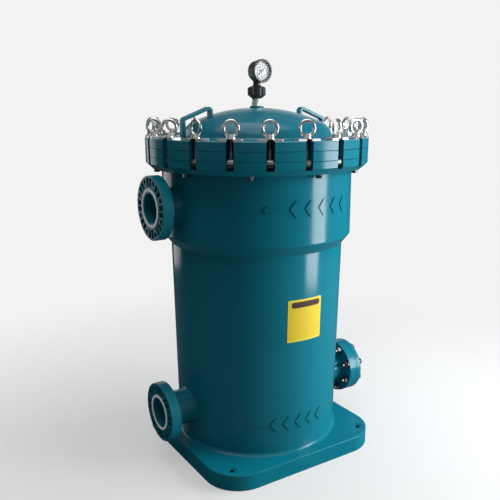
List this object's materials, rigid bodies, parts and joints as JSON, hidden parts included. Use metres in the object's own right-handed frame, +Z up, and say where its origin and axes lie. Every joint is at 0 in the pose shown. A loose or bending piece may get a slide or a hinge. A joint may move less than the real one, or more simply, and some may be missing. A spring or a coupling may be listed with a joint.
{
  "type": "bag filter housing",
  "caption": "Moulded plastic bag filter housing with a swing-bolt cover, eye nuts, pressure gauge, side inlet and outlet flanges, blanked drain nozzle and square base.",
  "frame": {"origin": "centre of the base plate's underside, on the vessel axis", "axes": "+Z up the vessel axis, -X out of the inlet and outlet, -Y towards the gauge face and the rating plate's place"},
  "size_m": [0.874, 0.766, 1.3815],
  "materials": {
    "teal_plastic": "gloss",
    "teal_lid": "gloss",
    "teal_base": "gloss",
    "white_seal": "satin",
    "black_rubber": "matt",
    "steel_bolt": "satin",
    "steel_nut": "polished",
    "steel_plate": "satin",
    "natural_plastic": "satin",
    "black_plastic": "satin",
    "dial_white": "matt",
    "pointer_black": "matt",
    "basket_plastic": "satin",
    "sheet_plastic": "satin"
  },
  "bodies": {
    "vessel": {"base_plate": "teal_base", "vessel_shell": "teal_plastic", "backing_ring": "teal_plastic", "pivot_pins": "steel_bolt", "lid_seal": "black_rubber", "inlet_nozzle": "teal_plastic", "outlet_nozzle": "teal_plastic", "drain_nozzle": "teal_plastic", "face_seals": "white_seal", "blind_flange": "teal_plastic", "blind_bolts": "steel_bolt", "tube_sheet": "sheet_plastic"},
    "cover": {"lid": "teal_lid", "clamp_plates": "steel_plate", "gauge_nipple": "natural_plastic", "diaphragm_seal": "black_plastic", "gauge_case": "black_plastic", "gauge_dial": "dial_white"},
    "strainers": {"baskets": "basket_plastic"},
    "pointer": {"gauge_pointer": "pointer_black"},
    "bolt_01": {"swing_bolt_01": "steel_bolt"},
    "nut_01": {"eye_nut_01": "steel_nut"},
    "bolt_02": {"swing_bolt_02": "steel_bolt"},
    "nut_02": {"eye_nut_02": "steel_nut"},
    "bolt_03": {"swing_bolt_03": "steel_bolt"},
    "nut_03": {"eye_nut_03": "steel_nut"},
    "bolt_04": {"swing_bolt_04": "steel_bolt"},
    "nut_04": {"eye_nut_04": "steel_nut"},
    "bolt_05": {"swing_bolt_05": "steel_bolt"},
    "nut_05": {"eye_nut_05": "steel_nut"},
    "bolt_06": {"swing_bolt_06": "steel_bolt"},
    "nut_06": {"eye_nut_06": "steel_nut"},
    "bolt_07": {"swing_bolt_07": "steel_bolt"},
    "nut_07": {"eye_nut_07": "steel_nut"},
    "bolt_08": {"swing_bolt_08": "steel_bolt"},
    "nut_08": {"eye_nut_08": "steel_nut"},
    "bolt_09": {"swing_bolt_09": "steel_bolt"},
    "nut_09": {"eye_nut_09": "steel_nut"},
    "bolt_10": {"swing_bolt_10": "steel_bolt"},
    "nut_10": {"eye_nut_10": "steel_nut"},
    "bolt_11": {"swing_bolt_11": "steel_bolt"},
    "nut_11": {"eye_nut_11": "steel_nut"},
    "bolt_12": {"swing_bolt_12": "steel_bolt"},
    "nut_12": {"eye_nut_12": "steel_nut"},
    "bolt_13": {"swing_bolt_13": "steel_bolt"},
    "nut_13": {"eye_nut_13": "steel_nut"},
    "bolt_14": {"swing_bolt_14": "steel_bolt"},
    "nut_14": {"eye_nut_14": "steel_nut"},
    "bolt_15": {"swing_bolt_15": "steel_bolt"},
    "nut_15": {"eye_nut_15": "steel_nut"},
    "bolt_16": {"swing_bolt_16": "steel_bolt"},
    "nut_16": {"eye_nut_16": "steel_nut"},
    "bolt_17": {"swing_bolt_17": "steel_bolt"},
    "nut_17": {"eye_nut_17": "steel_nut"},
    "bolt_18": {"swing_bolt_18": "steel_bolt"},
    "nut_18": {"eye_nut_18": "steel_nut"},
    "bolt_19": {"swing_bolt_19": "steel_bolt"},
    "nut_19": {"eye_nut_19": "steel_nut"},
    "bolt_20": {"swing_bolt_20": "steel_bolt"},
    "nut_20": {"eye_nut_20": "steel_nut"}
  },
  "joints": [
    {"name": "lid_lift", "type": "slide", "parent": "vessel", "child": "cover", "axis": [0, 0, 1], "range_m": [0, 1.2]},
    {"name": "baskets_lift", "type": "slide", "parent": "vessel", "child": "strainers", "axis": [0, 0, 1], "range_m": [0, 0.72]},
    {"name": "pointer_turn", "type": "hinge", "parent": "cover", "child": "pointer", "pos_m": [0, -0.0288, 1.34398], "axis": [0, 1, 0], "range_deg": [0, 270]},
    {"name": "bolt_fold_01", "type": "hinge", "parent": "vessel", "child": "bolt_01", "pos_m": [0.35853, 0.05679, 1.066], "axis": [-0.1564, 0.9877, 0], "range_deg": [0, 70.5]},
    {"name": "nut_turn_01", "type": "hinge", "parent": "cover", "child": "nut_01", "pos_m": [0.35853, 0.05679, 1.138], "axis": [0, 0, 1], "continuous": true},
    {"name": "bolt_fold_02", "type": "hinge", "parent": "vessel", "child": "bolt_02", "pos_m": [0.32343, 0.1648, 1.066], "axis": [-0.454, 0.891, 0], "range_deg": [0, 70.5]},
    {"name": "nut_turn_02", "type": "hinge", "parent": "cover", "child": "nut_02", "pos_m": [0.32343, 0.1648, 1.138], "axis": [0, 0, 1], "continuous": true},
    {"name": "bolt_fold_03", "type": "hinge", "parent": "vessel", "child": "bolt_03", "pos_m": [0.25668, 0.25668, 1.066], "axis": [-0.7071, 0.7071, 0], "range_deg": [0, 70.5]},
    {"name": "nut_turn_03", "type": "hinge", "parent": "cover", "child": "nut_03", "pos_m": [0.25668, 0.25668, 1.138], "axis": [0, 0, 1], "continuous": true},
    {"name": "bolt_fold_04", "type": "hinge", "parent": "vessel", "child": "bolt_04", "pos_m": [0.1648, 0.32343, 1.066], "axis": [-0.891, 0.454, 0], "range_deg": [0, 70.5]},
    {"name": "nut_turn_04", "type": "hinge", "parent": "cover", "child": "nut_04", "pos_m": [0.1648, 0.32343, 1.138], "axis": [0, 0, 1], "continuous": true},
    {"name": "bolt_fold_05", "type": "hinge", "parent": "vessel", "child": "bolt_05", "pos_m": [0.05679, 0.35853, 1.066], "axis": [-0.9877, 0.1564, 0], "range_deg": [0, 70.5]},
    {"name": "nut_turn_05", "type": "hinge", "parent": "cover", "child": "nut_05", "pos_m": [0.05679, 0.35853, 1.138], "axis": [0, 0, 1], "continuous": true},
    {"name": "bolt_fold_06", "type": "hinge", "parent": "vessel", "child": "bolt_06", "pos_m": [-0.05679, 0.35853, 1.066], "axis": [-0.9877, -0.1564, 0], "range_deg": [0, 70.5]},
    {"name": "nut_turn_06", "type": "hinge", "parent": "cover", "child": "nut_06", "pos_m": [-0.05679, 0.35853, 1.138], "axis": [0, 0, 1], "continuous": true},
    {"name": "bolt_fold_07", "type": "hinge", "parent": "vessel", "child": "bolt_07", "pos_m": [-0.1648, 0.32343, 1.066], "axis": [-0.891, -0.454, 0], "range_deg": [0, 70.5]},
    {"name": "nut_turn_07", "type": "hinge", "parent": "cover", "child": "nut_07", "pos_m": [-0.1648, 0.32343, 1.138], "axis": [0, 0, 1], "continuous": true},
    {"name": "bolt_fold_08", "type": "hinge", "parent": "vessel", "child": "bolt_08", "pos_m": [-0.25668, 0.25668, 1.066], "axis": [-0.7071, -0.7071, 0], "range_deg": [0, 70.5]},
    {"name": "nut_turn_08", "type": "hinge", "parent": "cover", "child": "nut_08", "pos_m": [-0.25668, 0.25668, 1.138], "axis": [0, 0, 1], "continuous": true},
    {"name": "bolt_fold_09", "type": "hinge", "parent": "vessel", "child": "bolt_09", "pos_m": [-0.32343, 0.1648, 1.066], "axis": [-0.454, -0.891, 0], "range_deg": [0, 70.5]},
    {"name": "nut_turn_09", "type": "hinge", "parent": "cover", "child": "nut_09", "pos_m": [-0.32343, 0.1648, 1.138], "axis": [0, 0, 1], "continuous": true},
    {"name": "bolt_fold_10", "type": "hinge", "parent": "vessel", "child": "bolt_10", "pos_m": [-0.35853, 0.05679, 1.066], "axis": [-0.1564, -0.9877, 0], "range_deg": [0, 70.5]},
    {"name": "nut_turn_10", "type": "hinge", "parent": "cover", "child": "nut_10", "pos_m": [-0.35853, 0.05679, 1.138], "axis": [0, 0, 1], "continuous": true},
    {"name": "bolt_fold_11", "type": "hinge", "parent": "vessel", "child": "bolt_11", "pos_m": [-0.35853, -0.05679, 1.066], "axis": [0.1564, -0.9877, 0], "range_deg": [0, 70.5]},
    {"name": "nut_turn_11", "type": "hinge", "parent": "cover", "child": "nut_11", "pos_m": [-0.35853, -0.05679, 1.138], "axis": [0, 0, 1], "continuous": true},
    {"name": "bolt_fold_12", "type": "hinge", "parent": "vessel", "child": "bolt_12", "pos_m": [-0.32343, -0.1648, 1.066], "axis": [0.454, -0.891, 0], "range_deg": [0, 70.5]},
    {"name": "nut_turn_12", "type": "hinge", "parent": "cover", "child": "nut_12", "pos_m": [-0.32343, -0.1648, 1.138], "axis": [0, 0, 1], "continuous": true},
    {"name": "bolt_fold_13", "type": "hinge", "parent": "vessel", "child": "bolt_13", "pos_m": [-0.25668, -0.25668, 1.066], "axis": [0.7071, -0.7071, 0], "range_deg": [0, 70.5]},
    {"name": "nut_turn_13", "type": "hinge", "parent": "cover", "child": "nut_13", "pos_m": [-0.25668, -0.25668, 1.138], "axis": [0, 0, 1], "continuous": true},
    {"name": "bolt_fold_14", "type": "hinge", "parent": "vessel", "child": "bolt_14", "pos_m": [-0.1648, -0.32343, 1.066], "axis": [0.891, -0.454, 0], "range_deg": [0, 70.5]},
    {"name": "nut_turn_14", "type": "hinge", "parent": "cover", "child": "nut_14", "pos_m": [-0.1648, -0.32343, 1.138], "axis": [0, 0, 1], "continuous": true},
    {"name": "bolt_fold_15", "type": "hinge", "parent": "vessel", "child": "bolt_15", "pos_m": [-0.05679, -0.35853, 1.066], "axis": [0.9877, -0.1564, 0], "range_deg": [0, 70.5]},
    {"name": "nut_turn_15", "type": "hinge", "parent": "cover", "child": "nut_15", "pos_m": [-0.05679, -0.35853, 1.138], "axis": [0, 0, 1], "continuous": true},
    {"name": "bolt_fold_16", "type": "hinge", "parent": "vessel", "child": "bolt_16", "pos_m": [0.05679, -0.35853, 1.066], "axis": [0.9877, 0.1564, 0], "range_deg": [0, 70.5]},
    {"name": "nut_turn_16", "type": "hinge", "parent": "cover", "child": "nut_16", "pos_m": [0.05679, -0.35853, 1.138], "axis": [0, 0, 1], "continuous": true},
    {"name": "bolt_fold_17", "type": "hinge", "parent": "vessel", "child": "bolt_17", "pos_m": [0.1648, -0.32343, 1.066], "axis": [0.891, 0.454, 0], "range_deg": [0, 70.5]},
    {"name": "nut_turn_17", "type": "hinge", "parent": "cover", "child": "nut_17", "pos_m": [0.1648, -0.32343, 1.138], "axis": [0, 0, 1], "continuous": true},
    {"name": "bolt_fold_18", "type": "hinge", "parent": "vessel", "child": "bolt_18", "pos_m": [0.25668, -0.25668, 1.066], "axis": [0.7071, 0.7071, 0], "range_deg": [0, 70.5]},
    {"name": "nut_turn_18", "type": "hinge", "parent": "cover", "child": "nut_18", "pos_m": [0.25668, -0.25668, 1.138], "axis": [0, 0, 1], "continuous": true},
    {"name": "bolt_fold_19", "type": "hinge", "parent": "vessel", "child": "bolt_19", "pos_m": [0.32343, -0.1648, 1.066], "axis": [0.454, 0.891, 0], "range_deg": [0, 70.5]},
    {"name": "nut_turn_19", "type": "hinge", "parent": "cover", "child": "nut_19", "pos_m": [0.32343, -0.1648, 1.138], "axis": [0, 0, 1], "continuous": true},
    {"name": "bolt_fold_20", "type": "hinge", "parent": "vessel", "child": "bolt_20", "pos_m": [0.35853, -0.05679, 1.066], "axis": [0.1564, 0.9877, 0], "range_deg": [0, 70.5]},
    {"name": "nut_turn_20", "type": "hinge", "parent": "cover", "child": "nut_20", "pos_m": [0.35853, -0.05679, 1.138], "axis": [0, 0, 1], "continuous": true}
  ],
  "couplings": [
    {"joint": "baskets_lift", "follows": "lid_lift", "ratio": 0.6},
    {"joint": "bolt_fold_01", "follows": "lid_lift", "rad_per_m": 1.0181},
    {"joint": "bolt_fold_02", "follows": "lid_lift", "rad_per_m": 1.0181},
    {"joint": "bolt_fold_03", "follows": "lid_lift", "rad_per_m": 1.0181},
    {"joint": "bolt_fold_04", "follows": "lid_lift", "rad_per_m": 1.0181},
    {"joint": "bolt_fold_05", "follows": "lid_lift", "rad_per_m": 1.0181},
    {"joint": "bolt_fold_06", "follows": "lid_lift", "rad_per_m": 1.0181},
    {"joint": "bolt_fold_07", "follows": "lid_lift", "rad_per_m": 1.0181},
    {"joint": "bolt_fold_08", "follows": "lid_lift", "rad_per_m": 1.0181},
    {"joint": "bolt_fold_09", "follows": "lid_lift", "rad_per_m": 1.0181},
    {"joint": "bolt_fold_10", "follows": "lid_lift", "rad_per_m": 1.0181},
    {"joint": "bolt_fold_11", "follows": "lid_lift", "rad_per_m": 1.0181},
    {"joint": "bolt_fold_12", "follows": "lid_lift", "rad_per_m": 1.0181},
    {"joint": "bolt_fold_13", "follows": "lid_lift", "rad_per_m": 1.0181},
    {"joint": "bolt_fold_14", "follows": "lid_lift", "rad_per_m": 1.0181},
    {"joint": "bolt_fold_15", "follows": "lid_lift", "rad_per_m": 1.0181},
    {"joint": "bolt_fold_16", "follows": "lid_lift", "rad_per_m": 1.0181},
    {"joint": "bolt_fold_17", "follows": "lid_lift", "rad_per_m": 1.0181},
    {"joint": "bolt_fold_18", "follows": "lid_lift", "rad_per_m": 1.0181},
    {"joint": "bolt_fold_19", "follows": "lid_lift", "rad_per_m": 1.0181},
    {"joint": "bolt_fold_20", "follows": "lid_lift", "rad_per_m": 1.0181}
  ]
}
